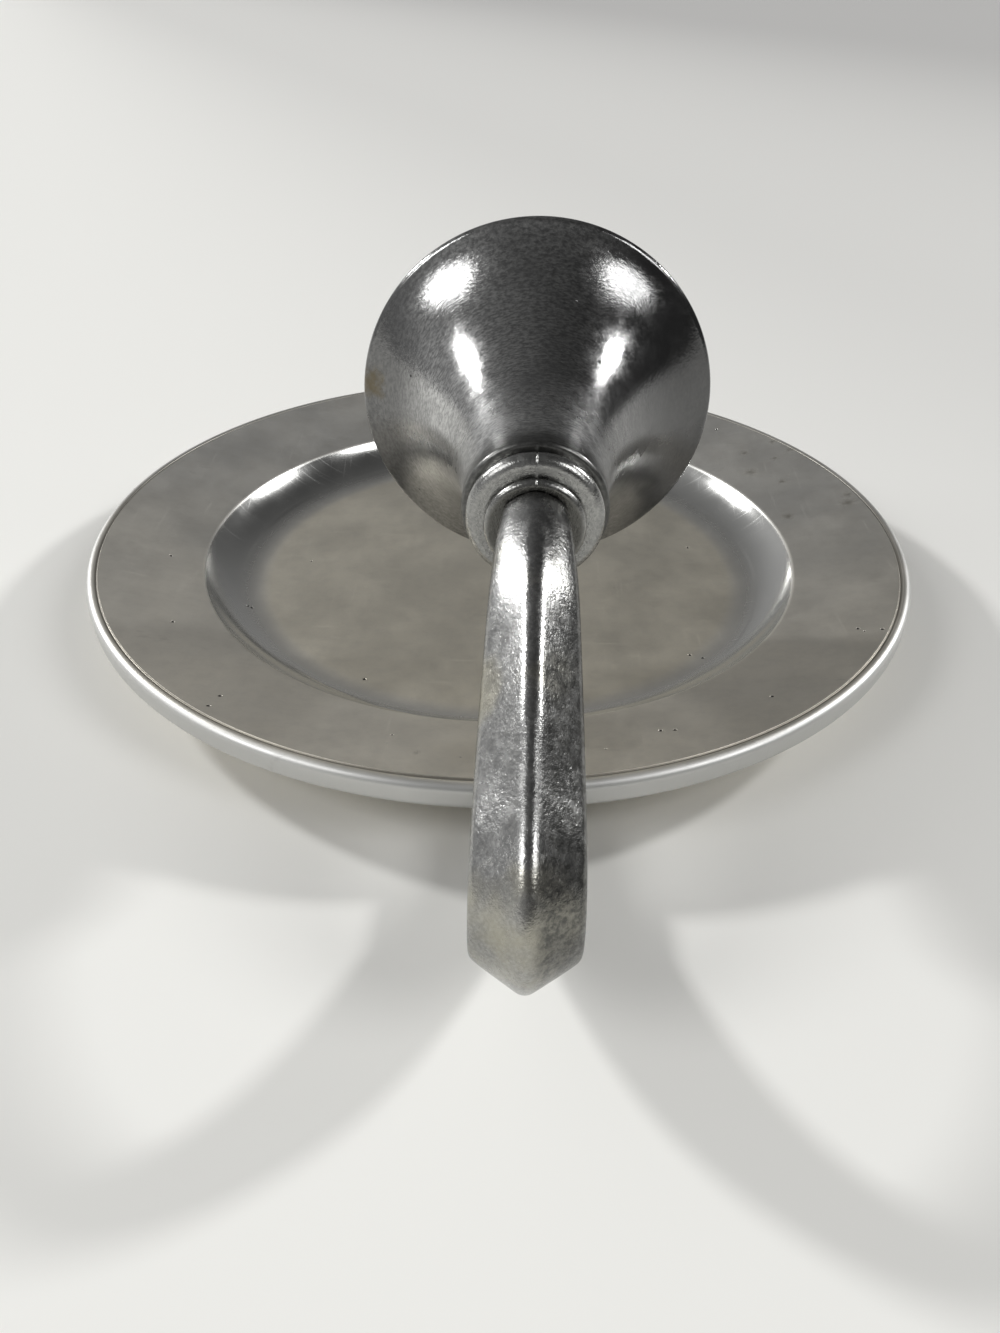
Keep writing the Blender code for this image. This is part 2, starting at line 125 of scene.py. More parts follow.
def round_bar(name, start, end, radius, sides=48):
    """A plain bar between two points, used to drill and to join: a rectangle turned about that line."""
    start, end = Vector(start), Vector(end)
    ring = np.array([[0, 0], [radius, 0], [radius, 1], [0, 1]], float)
    ring[:, 1] *= (end - start).length
    bar = turned(ring, full_turn(sides)).reshape(-1, 3)
    turn = np.array((end - start).to_track_quat("Z", "Y").to_matrix())
    return solid(name, bar @ turn.T + np.array(start), grid_faces(len(ring), sides))


def worked(body, tool, operation="DIFFERENCE"):
    """The body cut by a tool, or joined to it, kept as a plain mesh. The tool is thrown away."""
    step = body.modifiers.new("work", "BOOLEAN")
    step.solver = "EXACT"
    step.operation = operation
    step.object = tool
    graph = bpy.context.evaluated_depsgraph_get()
    made = bpy.data.meshes.new_from_object(body.evaluated_get(graph))
    body.modifiers.clear()
    body.data = made
    bpy.data.objects.remove(tool)
    return body


def finished(body, material, node, crease=35):
    """Smooth shading with sharp creases, its finish, and the CAD piece that the body stands for."""
    body.data.shade_smooth()
    body.data.set_sharp_from_angle(angle=math.radians(crease))
    body.data.materials.clear()
    body.data.materials.append(material)
    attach(body, "root")
    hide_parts(node)


cove_centre = (well_radius - cove_radius * math.sin(math.radians(cove_angle)), floor_thickness + cove_radius)
well_edge_z = cove_centre[1] - cove_radius * math.cos(math.radians(cove_angle))
bead_inner = plate_radius - bead_width
rim_rise = (plate_height - well_edge_z) / (bead_inner - well_radius)
rim_tilt = math.degrees(math.atan(rim_rise))


def plate_profile():
    """Radius and height from the middle of the floor out over the rim and back under to the middle."""
    trim = lip_round * math.tan(math.radians(cove_angle - rim_tilt) / 2)
    cove_end = cove_angle - math.degrees(trim / cove_radius)
    tilt = math.radians(rim_tilt)
    lip = (
        well_radius + trim * math.cos(tilt) + lip_round * math.sin(tilt),
        well_edge_z + trim * math.sin(tilt) - lip_round * math.cos(tilt),
    )
    floor_edge = (cove_centre[0], floor_thickness)
    groove_start = (bead_inner - 2 * bead_groove, plate_height - 2 * bead_groove * math.sin(tilt))
    outer = plate_radius - edge_round
    bead_top = arc((outer, plate_height - edge_round), edge_round, 90, 0, 14)
    edge_bottom = plate_height - edge_thickness
    lip_points = arc(lip, lip_round, 90 + cove_end, 90 + rim_tilt, 10)
    under = arc(cove_centre, cove_radius + floor_thickness, cove_angle - 90, -90, 22)
    under_edge = arc((outer, edge_bottom + edge_round), edge_round, 0, -90, 10)
    return np.vstack((
        [(0, floor_thickness)],
        straight((0, floor_thickness), floor_edge, 22),
        arc(cove_centre, cove_radius, -90, cove_end - 90, 44),
        lip_points[1:],
        straight(lip_points[-1], groove_start, 16),
        [groove_start],
        arc((bead_inner, plate_height - 0.6 * bead_groove), 1.4 * bead_groove, 195, 345, 9),
        [(bead_inner + 3 * bead_groove, plate_height - bead_groove / 5)],
        bead_top,
        under_edge,
        straight(under_edge[-1], under[0], 12),
        under,
        straight((cove_centre[0], 0), (0, 0), 8),
        [(0, 0)],
    ))


def spun_waver(points):
    """Spinning leaves the cove wavy by hundredths of a millimetre, and the floor sunk by a tenth.

    The waves are three sines round the plate. Both marks fade out by a bell curve of the radius.
    """
    wave_lift, cove_ring, cove_fade = 0.00005, 0.0745, 0.006
    floor_sink, sunk_ring, sunk_fade, floor_end = 0.00012, 0.030, 0.022, 0.065
    top_slope = 0.12
    x, y, z = np.moveaxis(points, -1, 0)
    radius = np.hypot(x, y)
    turn = np.arctan2(y, x)
    waves = np.sin(5 * turn + 0.6) + 0.7 * np.sin(9 * turn + 2.1) + 0.5 * np.sin(14 * turn + 90 * radius)
    on_top = z > plate_height / 2 - (plate_radius - radius) * top_slope
    near_cove = bell(radius, cove_ring, cove_fade) * on_top
    sunk = bell(radius, sunk_ring, sunk_fade) * (z > floor_thickness / 2) * (radius < floor_end)
    lift = wave_lift * waves * near_cove - floor_sink * sunk
    return np.stack((x, y, z + lift), axis=-1)


profile = plate_profile()
plate_points = spun_waver(turned(profile, full_turn(plate_sides)))
plate = solid("plate_dish", plate_points, grid_faces(len(profile), plate_sides))
hang_hole = plate_radius - hang_hole_inset
worked(plate, round_bar("drill", (0, hang_hole, drill_start), (0, hang_hole, drill_end), hang_hole_radius))
for number in (1, 2):
    screw_low, screw_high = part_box(f"foot_screw_{number}")
    across, along = (screw_low + screw_high).xy / 2
    hole_end = (across, along, screw_high.z + fit_gap)
    worked(plate, round_bar("drill", (across, along, drill_start), hole_end, foot_hole_radius))


def fresh_finish(name):
    """A new material and its node tree."""
    made = bpy.data.materials.new(name)
    made.use_nodes = True
    return made, made.node_tree


def as_metal(made, colour, rough, bumps):
    """The material as bare metal, with its colour, roughness and bumps wired to the shader."""
    tree = made.node_tree
    shader = tree.nodes["Principled BSDF"]
    shader.inputs["Metallic"].default_value = 1.0
    for socket, value in (("Base Color", colour), ("Roughness", rough), ("Normal", bumps)):
        tree.links.new(value, shader.inputs[socket])
    return made


def wired(tree, kind, inputs, out=0, **settings):
    """One node with its settings; each input is a plain value or another node's output."""
    node = tree.nodes.new(kind)
    for key, value in settings.items():
        setattr(node, key, value)
    for key, value in inputs.items():
        if isinstance(value, bpy.types.NodeSocket):
            tree.links.new(value, node.inputs[key])
        else:
            node.inputs[key].default_value = value
    return node.outputs[out]


def place(tree):
    """The point on the piece, in metres, in the object's own frame."""
    return tree.nodes.new("ShaderNodeTexCoord").outputs["Object"]


def axis_of(tree, point, axis):
    """One coordinate of the point: X, Y or Z."""
    return wired(tree, "ShaderNodeSeparateXYZ", {0: point}, out=axis)


def stretched(tree, point, scale, turn=(0, 0, 0)):
    """The point scaled along each axis and turned, for marks that run one way."""
    return wired(tree, "ShaderNodeMapping", {"Vector": point, "Scale": scale, "Rotation": turn})


def cloud(tree, point, scale, detail=3.0, rough=0.55):
    """Smooth random values about one half."""
    inputs = {"Vector": point, "Scale": scale, "Detail": detail, "Roughness": rough}
    return wired(tree, "ShaderNodeTexNoise", inputs)


def rise(tree, value, low, high, bottom=0.0, top=1.0):
    """Smooth step from bottom, where the value is low, to top, where it is high; low may be the larger."""
    inputs = {"Value": value, 1: low, 2: high, 3: bottom, 4: top}
    return wired(tree, "ShaderNodeMapRange", inputs, interpolation_type="SMOOTHSTEP")


def sum_of(tree, a, b):
    """a plus b."""
    return wired(tree, "ShaderNodeMath", {0: a, 1: b}, operation="ADD")


def product(tree, a, b):
    """a times b."""
    return wired(tree, "ShaderNodeMath", {0: a, 1: b}, operation="MULTIPLY")


def larger(tree, a, b):
    """The larger of a and b."""
    return wired(tree, "ShaderNodeMath", {0: a, 1: b}, operation="MAXIMUM")


def tinted(tree, share, a, b):
    """Colour a where share is 0 and colour b where it is 1."""
    return wired(tree, "ShaderNodeMix", {0: share, 6: a, 7: b}, out=2, data_type="RGBA")


def distance_to(tree, point, spot):
    """Metres from the point to a spot."""
    return wired(tree, "ShaderNodeVectorMath", {0: point, 1: spot}, out="Value", operation="DISTANCE")


def pits(tree, point, spacing, size, share):
    """Sparse small holes: round spots at random cell points, kept in a share of the cells."""
    inputs = {"Vector": point, "Scale": 1 / spacing}
    gap = wired(tree, "ShaderNodeTexVoronoi", inputs, out="Distance")
    near = rise(tree, gap, size / spacing, 0.4 * size / spacing)
    cell = wired(tree, "ShaderNodeTexVoronoi", inputs, out="Color")
    lot = wired(tree, "ShaderNodeSeparateColor", {0: cell})
    return product(tree, near, rise(tree, lot, 1 - share, 1.02 - share))


def pitted(tree, colour, holes):
    """The colour, gone almost black in the holes."""
    return tinted(tree, product(tree, holes, 0.95), colour, (0.02, 0.02, 0.018, 1))


def relief(tree, height, depth, below=None):
    """A bump whose full height is depth metres, laid over another bump."""
    inputs = {"Height": height, "Distance": depth, "Strength": 1.0}
    if below is not None:
        inputs["Normal"] = below
    return wired(tree, "ShaderNodeBump", inputs)


def pit_relief(tree, holes, depth, below):
    """Bumps that go in by the depth at the holes: the relief of one less the holes."""
    whole = wired(tree, "ShaderNodeMath", {0: 1.0, 1: holes}, operation="SUBTRACT")
    return relief(tree, whole, depth, below)


def plate_finish():
    """Satin spun aluminium gone grey and brownish, polished in the cove, with pits, stains and hairlines."""
    cool, warm, bright = (0.71, 0.70, 0.665, 1), (0.82, 0.775, 0.675, 1), (0.74, 0.74, 0.72, 1)
    waxy, dull, edge_shade = (0.79, 0.735, 0.60, 1), (0.54, 0.515, 0.46, 1), (0.60, 0.60, 0.585, 1)
    stain = (0.13, 0.12, 0.10, 1)
    floor_edge, cove_start, cove_full = 0.0640, 0.0690, 0.0760
    made, tree = fresh_finish("spun_plate")
    point = place(tree)
    flat = stretched(tree, point, (1, 1, 0))
    radius = distance_to(tree, flat, (0, 0, 0))
    cove = product(
        tree,
        rise(tree, radius, floor_edge, cove_full),
        rise(tree, radius, well_radius + 0.0004, well_radius - 0.0008),
    )
    patina = rise(tree, cloud(tree, point, 26, 4), 0.38, 0.66, -0.08, 0.08)
    patina = sum_of(tree, patina, rise(tree, axis_of(tree, point, "Y"), 0.06, -0.10, 0.1, 0.9))
    colour = tinted(tree, patina, cool, warm)
    colour = tinted(tree, rise(tree, radius, cove_start, floor_edge, 0.0, 0.6), colour, waxy)
    mottle = rise(tree, cloud(tree, point, 240, 5, 0.7), 0.35, 0.75, 0.0, 0.24)
    colour = tinted(tree, mottle, colour, dull)
    colour = tinted(tree, cove, colour, bright)
    # Painted shade: the outer edge of the rim is darkened.
    colour = tinted(tree, rise(tree, radius, plate_radius - 0.0022, plate_radius - 0.0006), colour, edge_shade)
    stain_spots = (
        (0.0794, 0.0721, 0.0016), (0.0875, 0.0600, 0.0022), (0.0918, 0.0537, 0.0024),
        (0.0779, 0.0560, 0.0022), (0.0866, 0.0501, 0.0020), (0.0784, 0.0447, 0.0027),
        (0.0865, 0.0366, 0.0022), (0.1027, 0.0225, 0.0024), (0.1017, 0.0181, 0.0030),
        (0.0848, 0.0169, 0.0026), (-0.0135, -0.0975, 0.0016), (-0.0200, -0.0940, 0.0012),
        (-0.0045, -0.0985, 0.0010),
    )
    ragged = product(tree, cloud(tree, point, 900, 3), 0.0022)
    smears = cloud(tree, stretched(tree, point, (1, 1.6, 1), (0, 0, 0.5)), 70, 5, 0.62)
    dirt = product(tree, rise(tree, smears, 0.66, 0.76), 0.20)
    for x, y, size in stain_spots:
        reach = sum_of(tree, distance_to(tree, flat, (x, y, 0)), ragged)
        dirt = larger(tree, dirt, rise(tree, reach, 1.5 * size, 0.35 * size))
    colour = tinted(tree, product(tree, dirt, 0.78), colour, stain)
    pit_spots = (
        (0.0560, 0.0140), (0.0880, -0.0480), (0.0930, -0.0500), (0.0545, -0.0980), (0.0710, 0.0720),
        (-0.0885, -0.0170), (-0.0780, -0.0500), (-0.0666, -0.0260), (-0.0656, -0.0264), (-0.0310, -0.0560),
        (-0.0580, -0.0810), (-0.0590, -0.0860), (0.0500, -0.0420), (0.0530, -0.0435), (0.0625, -0.0750),
        (0.0400, -0.0870), (0.0370, -0.0870),
    )
    holes = pits(tree, point, 0.009, 0.00035, 0.30)
    for x, y in pit_spots:
        holes = larger(tree, holes, rise(tree, distance_to(tree, flat, (x, y, 0)), 0.0005, 0.0003))
    colour = pitted(tree, colour, holes)
    # Painted shade: the groove inside the bead is darkened with the stain colour.
    groove_edge, groove_core = 0.0006, 0.0002
    groove_shade = product(
        tree,
        rise(tree, radius, bead_inner - groove_edge, bead_inner - groove_core),
        rise(tree, radius, bead_inner + groove_edge, bead_inner + groove_core),
    )
    colour = tinted(tree, product(tree, groove_shade, 0.75), colour, stain)
    hair_one = rise(tree, cloud(tree, stretched(tree, point, (60, 2600, 60), (0, 0, 0.35)), 1, 2), 0.62, 0.72)
    hair_two = rise(tree, cloud(tree, stretched(tree, point, (2600, 50, 50), (0, 0, 0.9)), 1, 2), 0.64, 0.74)
    hairlines = larger(tree, hair_one, hair_two)
    satin = rise(tree, cloud(tree, point, 55, 4), 0.3, 0.7, 0.42, 0.49)
    satin = sum_of(tree, satin, product(tree, hairlines, 0.07))
    polish = rise(tree, cove, 0, 1, 0.0, -0.30)
    rough = sum_of(tree, sum_of(tree, satin, polish), product(tree, dirt, 0.2))
    rings = wired(tree, "ShaderNodeCombineXYZ", {0: radius, 1: 0.0, 2: 0.0})
    bumps = relief(tree, cloud(tree, rings, 2600, 3, 0.6), 0.000003)
    bumps = relief(tree, cloud(tree, point, 800, 4, 0.6), 0.000012, bumps)
    bumps = pit_relief(tree, holes, 0.0002, bumps)
    return as_metal(made, colour, rough, bumps)


finished(plate, plate_finish(), "reflector_plate")


# Arm
# A solid casting: a tongue screwed behind the rim, and a keeled bow that swings out from it and back over
# the rim to the cup. Flat inner face, straight cheeks, and two filed facets that meet in a rounded keel.

arm_low, arm_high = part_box("sconce_arm")
collar_low, collar_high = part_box("arm_collar")
arm_middle = (arm_low.x + arm_high.x) / 2
arm_foot_width = arm_high.x - arm_low.x
arm_height = 0.0110
arm_stations = 190
keel_height = 0.0060
keel_round = 0.0024
keel_swell, swell_at, swell_spread = 0.0028, 0.66, 0.17
neck_hump, hump_at, hump_spread = 0.0015, 0.80, 0.09
hollow_at, hollow_spread = 0.52, 0.10
taper_power = 4.0
bow_outset = 0.0120
bow_rise = math.radians(16)
bow_low_handle = 0.0793
bow_high_handle = 0.0180
wall_gap = 0.0003
neck_start = 0.70
arm_end_width = 0.0119
arm_end_height = 0.0142
arm_end_keel = 0.0044
arm_end_crown = 0.7
arm_end_rise = 0.0078
filed_crown = 0.06
filed_depth = 0.00005
filed_from = 0.002
tongue_width = 0.0150
tongue_step = 0.0007
tongue_root = 0.0030
tongue_back = 0.0006
tongue_bevel = 0.0005
tongue_drill_end = 0.03
rim_room_depth = 0.02
rim_room_sides = 256
foot_head_height = 0.0022
counterbore_gap = 0.0006
cup_axis_z = (collar_low.z + collar_high.z) / 2
arm_end_y = collar_low.y - fit_gap
arm_end_z = cup_axis_z + arm_end_rise - arm_end_height
tenon_radius = 0.0045


def ease(t):
    """Smooth step from 0 to 1: 3t^2 - 2t^3."""
    t = np.clip(t, 0, 1)
    return t * t * (3 - 2 * t)


def arm_path():
    """Points of the arm's inner face, outward directions, and the width, height, keel and crown there.

    The line is a cubic curve: its four points weigh (1-t)^3, 3t(1-t)^2, 3t^2(1-t) and t^3. Width and keel
    taper by a power of t, and the keel swells by a bell curve in the upper limb; over the neck a smooth step
    makes the section taller and rounder, after a hollow and a low hump, each a bell curve.
    """
    sine, cosine = math.sin(bow_rise), math.cos(bow_rise)
    base = np.array((-plate_radius - bow_outset + arm_height * sine, wall_gap + arm_height * cosine))
    low = base + bow_low_handle * np.array((-cosine, sine))
    end = np.array((arm_end_y, arm_end_z))
    high = end - (bow_high_handle, 0)
    t = np.linspace(0, 1, arm_stations)
    u = t[:, None]
    line = (1 - u) ** 3 * base + 3 * u * (1 - u) ** 2 * low + 3 * u ** 2 * (1 - u) * high + u ** 3 * end
    way = (1 - u) ** 2 * (low - base) + 2 * u * (1 - u) * (high - low) + u ** 2 * (end - high)
    way /= np.linalg.norm(way, axis=1, keepdims=True)
    outward = np.column_stack((-way[:, 1], way[:, 0]))
    taper = t ** taper_power
    neck = ease((t - neck_start) / (1 - neck_start))
    width = arm_foot_width + (arm_end_width - arm_foot_width) * taper
    height = arm_height + (arm_end_height - arm_height) * neck
    height = height + neck_hump * (bell(t, hump_at, hump_spread) - bell(t, hollow_at, hollow_spread))
    keel = keel_height + (arm_end_keel - keel_height) * taper + keel_swell * bell(t, swell_at, swell_spread)
    crown = filed_crown + (arm_end_crown - filed_crown) * neck
    return line, outward, width, height, keel, crown


def keel_roof(x, half, side, keel, crown):
    """Height of the outer side: two flat facets and a rounded keel, drawn to half an ellipse by the crown."""
    slope = np.arctan2(keel, half)
    flat = side + keel - np.abs(x) * np.tan(slope)
    ridge = side + keel - keel_round / np.cos(slope) + np.sqrt(np.maximum(keel_round ** 2 - x ** 2, 0))
    flat = np.where(np.abs(x) < keel_round * np.sin(slope), ridge, flat)
    arch = side + keel * np.sqrt(np.maximum(1 - (x / half) ** 2, 0))
    return flat + (arch - flat) * crown


def eased_corner(before, corner, after, count=6):
    """Quadratic curve that leans on a corner: weights (1-t)^2, 2t(1-t) and t^2 of its three points."""
    t = np.linspace(0, 1, count)[:, None, None]
    return (1 - t) ** 2 * before + 2 * t * (1 - t) * corner + t ** 2 * after


def paired(a, b):
    """Points from their two coordinates."""
    return np.stack((a, b), axis=-1)


def arm_outline(width, height, keel, crown):
    """Outline points across and out of the inner face for every station, right half first.

    The roof's points crowd towards the cheek, by a power of a cosine.
    """
    half, side = width / 2, height - keel
    zero = np.zeros_like(half)
    inner_round, shoulder_round = 0.0010, 0.0007
    foot = half - inner_round
    inset = half - shoulder_round
    foot_corner = eased_corner(paired(foot, zero), paired(half, zero), paired(half, zero + inner_round))
    shoulder = eased_corner(
        paired(half, side - shoulder_round),
        paired(half, side),
        paired(inset, keel_roof(inset, half, side, keel, crown)),
    )
    x = inset * np.cos(np.linspace(0, np.pi / 2, 26))[1:, None] ** 1.2
    roof = paired(x, keel_roof(x, half, side, keel, crown))
    inner = np.linspace(0, 1, 4)[1:-1, None] * foot
    right = np.concatenate((paired(inner, 0 * inner), foot_corner, shoulder, roof))
    left = right[-2::-1] * (-1, 1)
    return np.concatenate((right, left, paired(zero, zero)[None]))


def file_marks(along, across):
    """Hand filing takes up to a tenth of a millimetre off the facets: the product of two crossing sines."""
    waves = np.sin(along / 0.0031 + across / 0.0052) * np.sin(along / 0.0047 - across / 0.0036)
    return filed_depth * (waves - 1)


def end_caps(rows, columns):
    """The two faces that close the first and the last row of a grid."""
    return [list(range(columns)), list(range((rows - 1) * columns, rows * columns))]


path, outward, *sizes = arm_path()
outline = np.swapaxes(arm_outline(*sizes), 0, 1)
travelled = np.concatenate(([0], np.cumsum(np.linalg.norm(np.diff(path, axis=0), axis=1))))
across, out = outline[..., 0], outline[..., 1]
out = out + file_marks(travelled[:, None], across) * (out > filed_from)
arm_points = np.stack((
    arm_middle + across,
    path[:, :1] + outward[:, :1] * out,
    path[:, 1:] + outward[:, 1:] * out,
), axis=-1)
arm = solid("keeled_arm", arm_points, grid_faces(*across.shape) + end_caps(*across.shape))

under_radius = cove_radius + floor_thickness
under_r = cove_centre[0] + under_radius * math.sin(math.radians(cove_angle))
under_z = cove_centre[1] - under_radius * math.cos(math.radians(cove_angle))
under_slope = (plate_height - edge_thickness - under_z) / (plate_radius - edge_round - under_r)


def rim_under(radius):
    """Height of the rim's underside: a straight slope from the back of the cove to the edge."""
    return under_z + under_slope * (radius - under_r)


def tongue_levels():
    """Bar behind the rim: straight sides and a half circle for a nose, drawn in at its broken edges."""
    nose_low, nose_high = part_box("foot_screw_2")
    nose_y = (nose_low.y + nose_high.y) / 2
    root_y = -plate_radius - bow_outset - tongue_root
    top = rim_under(plate_radius) + tongue_step
    levels = np.array((
        (tongue_back, tongue_bevel), (tongue_back + tongue_bevel, 0),
        (top - tongue_bevel, 0), (top, tongue_bevel),
    ))
    half = tongue_width / 2 - levels[:, 1:]
    turn = np.linspace(0, np.pi, 40)
    x = np.concatenate((-half, half, half * np.cos(turn)), axis=1)
    y = np.concatenate((0 * half + root_y, 0 * half + root_y, nose_y + half * np.sin(turn)), axis=1)
    return np.stack((arm_middle + x, y, levels[:, :1] + 0 * x), axis=-1)


def rim_room():
    """Profile of the room that the rim needs in the tongue: its underside and edge, one gap further out."""
    inner, outer = under_r - rim_room_depth, plate_radius + fit_gap
    above = plate_height * 2
    return np.array((
        (inner, above), (outer, above),
        (outer, rim_under(outer) - fit_gap), (inner, rim_under(inner) - fit_gap),
    ))


tongue_points = tongue_levels()
tongue_grid = tongue_points.shape[:2]
worked(arm, solid("tongue", tongue_points, grid_faces(*tongue_grid) + end_caps(*tongue_grid)), "UNION")
room = rim_room()
room_faces = grid_faces(len(room), rim_room_sides, ring=True)
worked(arm, solid("rim_room", turned(room, full_turn(rim_room_sides)), room_faces))
for number in (1, 2):
    screw_low, screw_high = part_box(f"foot_screw_{number}")
    across, along = (screw_low + screw_high).xy / 2
    hole_start = (across, along, drill_start)
    head_room = (screw_high.x - screw_low.x) / 2 + counterbore_gap
    head_seat = (across, along, screw_low.z + foot_head_height + fit_gap)
    worked(arm, round_bar("drill", hole_start, (across, along, tongue_drill_end), foot_hole_radius))
    worked(arm, round_bar("counterbore", hole_start, head_seat, head_room))
tenon_root = (arm_middle, arm_end_y - arm_end_height / 2, cup_axis_z)
worked(arm, round_bar("tenon", tenon_root, (arm_middle, arm_high.y, cup_axis_z), tenon_radius), "UNION")


def arm_finish():
    """Ground casting: grain that breaks up every reflection, pits, a warm tinge, and painted shade that
    darkens the right facet.
    """
    grey, dark, warm = (0.40, 0.40, 0.39, 1), (0.22, 0.22, 0.22, 1), (0.44, 0.42, 0.34, 1)
    painted_shade = (0.10, 0.10, 0.095, 1)
    facet_fade = 0.0030
    made, tree = fresh_finish("ground_casting")
    point = place(tree)
    grain = cloud(tree, point, 1500, 4, 0.7)
    colour = tinted(tree, rise(tree, grain, 0.35, 0.68, 0.75, 0.0), grey, dark)
    tinge = rise(tree, cloud(tree, point, 60, 3), 0.50, 0.72, 0.0, 0.7)
    colour = tinted(tree, tinge, colour, warm)
    # Painted shade: the facet right of the keel is darkened, in patches.
    right = rise(tree, axis_of(tree, point, "X"), arm_middle, arm_middle + facet_fade)
    coarse = rise(tree, cloud(tree, point, 800, 4, 0.75), 0.36, 0.64, 0.95, 0.50)
    colour = tinted(tree, product(tree, right, coarse), colour, painted_shade)
    holes = larger(tree, pits(tree, point, 0.013, 0.0005, 0.35), pits(tree, point, 0.006, 0.0002, 0.20))
    colour = pitted(tree, colour, holes)
    rough = rise(tree, cloud(tree, point, 420, 4, 0.65), 0.3, 0.7, 0.20, 0.30)
    bumps = relief(tree, cloud(tree, point, 1900, 3, 0.65), 0.00006)
    bumps = relief(tree, cloud(tree, point, 420, 3, 0.6), 0.00004, bumps)
    bumps = pit_relief(tree, holes, 0.00012, bumps)
    return as_metal(made, colour, rough, bumps)


finished(arm, arm_finish(), "sconce_arm", crease=28)


# Collar
# A cast ferrule between arm and cup: a small ring, a neck and a large bead, slipped over the arm's tenon.
# A hairline seam left by the mould runs over its top.

bead_radius = (collar_high.x - collar_low.x) / 2
collar_length = collar_high.y - collar_low.y
collar_sides = 200
bead_half_width = 0.0020
ring_radius = 0.0093
ring_half_width = 0.0011
neck_radius = 0.0082
collar_bore = tenon_radius + fit_gap
seam_depth = 0.00014
seam_width = 0.00013


def along_y(points, start):
    """A shape turned about Z laid on its side: its height runs along +Y from the start point."""
    x, y, z = np.moveaxis(points, -1, 0)
    return np.stack((start[0] + x, start[1] + z, start[2] - y), axis=-1)


def seam_angles(count, seam):
    """A full turn of angles with extra ones close to the seam."""
    near = seam + np.radians(np.linspace(-3, 3, 25))
    return np.sort(np.concatenate((full_turn(count), np.mod(near, 2 * np.pi))))


bead_z = collar_length - bead_half_width
neck_top = (neck_radius, bead_z - bead_half_width)
neck_foot = (neck_radius, 2 * ring_half_width)
collar_profile = np.vstack((
    straight((collar_bore, collar_length), (bead_radius - bead_half_width, collar_length), 4),
    arc((bead_radius - bead_half_width, bead_z), bead_half_width, 90, -90, 22),
    neck_top,
    straight(neck_top, neck_foot, 4),
    neck_foot,
    arc((ring_radius - ring_half_width, ring_half_width), ring_half_width, 90, -90, 16),
    straight((ring_radius - ring_half_width, 0), (collar_bore, 0), 4),
    [(collar_bore, 0), (collar_bore, collar_length)],
))
collar_seam = 1.5 * np.pi
collar_turn = seam_angles(collar_sides, collar_seam)
collar_points = turned(collar_profile, collar_turn)
collar_reach = np.hypot(collar_points[..., 0], collar_points[..., 1])
seam_dip = seam_depth * bell((collar_turn - collar_seam) * collar_reach, 0, seam_width)
outer_side = collar_reach > neck_radius - 0.0001
collar_points[..., :2] *= (1 - seam_dip / collar_reach * outer_side)[..., None]
collar = solid(
    "bead_collar",
    along_y(collar_points, (arm_middle, collar_low.y, cup_axis_z)),
    grid_faces(len(collar_profile), len(collar_turn), ring=True),
)


def collar_finish():
    """Polished casting, grainy, with painted shade in the hollow behind the bead."""
    grey, dark, hollow = (0.38, 0.38, 0.365, 1), (0.20, 0.20, 0.20, 1), (0.06, 0.058, 0.05, 1)
    made, tree = fresh_finish("polished_casting")
    point = place(tree)
    grain = cloud(tree, point, 1700, 4, 0.7)
    colour = tinted(tree, rise(tree, grain, 0.35, 0.68, 0.6, 0.0), grey, dark)
    reach = distance_to(tree, stretched(tree, point, (1, 0, 1)), (arm_middle, 0.0, cup_axis_z))
    # Painted shade, near black, in the hollow between the ring and the bead.
    colour = tinted(tree, rise(tree, reach, ring_radius, neck_radius, 0.0, 0.75), colour, hollow)
    rough = rise(tree, cloud(tree, point, 500, 4), 0.3, 0.7, 0.18, 0.32)
    bumps = relief(tree, cloud(tree, point, 1900, 3, 0.65), 0.00006)
    bumps = relief(tree, cloud(tree, point, 420, 3), 0.00004, bumps)
    return as_metal(made, colour, rough, bumps)


finished(collar, collar_finish(), "arm_collar")


# Candle cup
# A trumpet turned from a casting: a straight body with the candle's socket in it, opening ever faster to
# a wide rim with a rounded lip. Outside it keeps the marks of turning, and some dents and stains.

cup_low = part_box("candle_cup")[0]
cup_sides = 240
cup_length = 0.0542
cup_rim_radius = 0.0386
cup_straight = 0.0050
flare_power = 1.7
flare_cut = 0.985
cup_base_round = 0.0010
cup_base_thickness = 0.0060
cup_wall = 0.0026
socket_radius = 0.0112
socket_depth = 0.0140
cup_body_radius = socket_radius + cup_wall


def trumpet(share):
    """A quarter of a squared circle: one less the root of one less a power of the share."""
    return 1 - (1 - share ** flare_power) ** (1 / flare_power)


def flare_share(height):
    """How far along the trumpet curve a height lies: none on the straight body, the cut at the rim."""
    return flare_cut * np.clip((height - cup_straight) / (cup_length - cup_straight), 0, 1)


def flare(height):
    """Outer radius: the body's radius, plus the rest of the rim's radius times the trumpet curve."""
    grown = trumpet(flare_share(height)) / trumpet(flare_cut)
    return cup_body_radius + (cup_rim_radius - cup_body_radius) * grown


def flare_tilt(height):
    """Angle of the flare from the axis, from the slope of the same curve."""
    share = flare_share(height)
    bend = (1 - share ** flare_power) ** (1 / flare_power - 1) * share ** (flare_power - 1)
    scale = (cup_rim_radius - cup_body_radius) / trumpet(flare_cut) * flare_cut / (cup_length - cup_straight)
    return np.arctan(scale * bend)


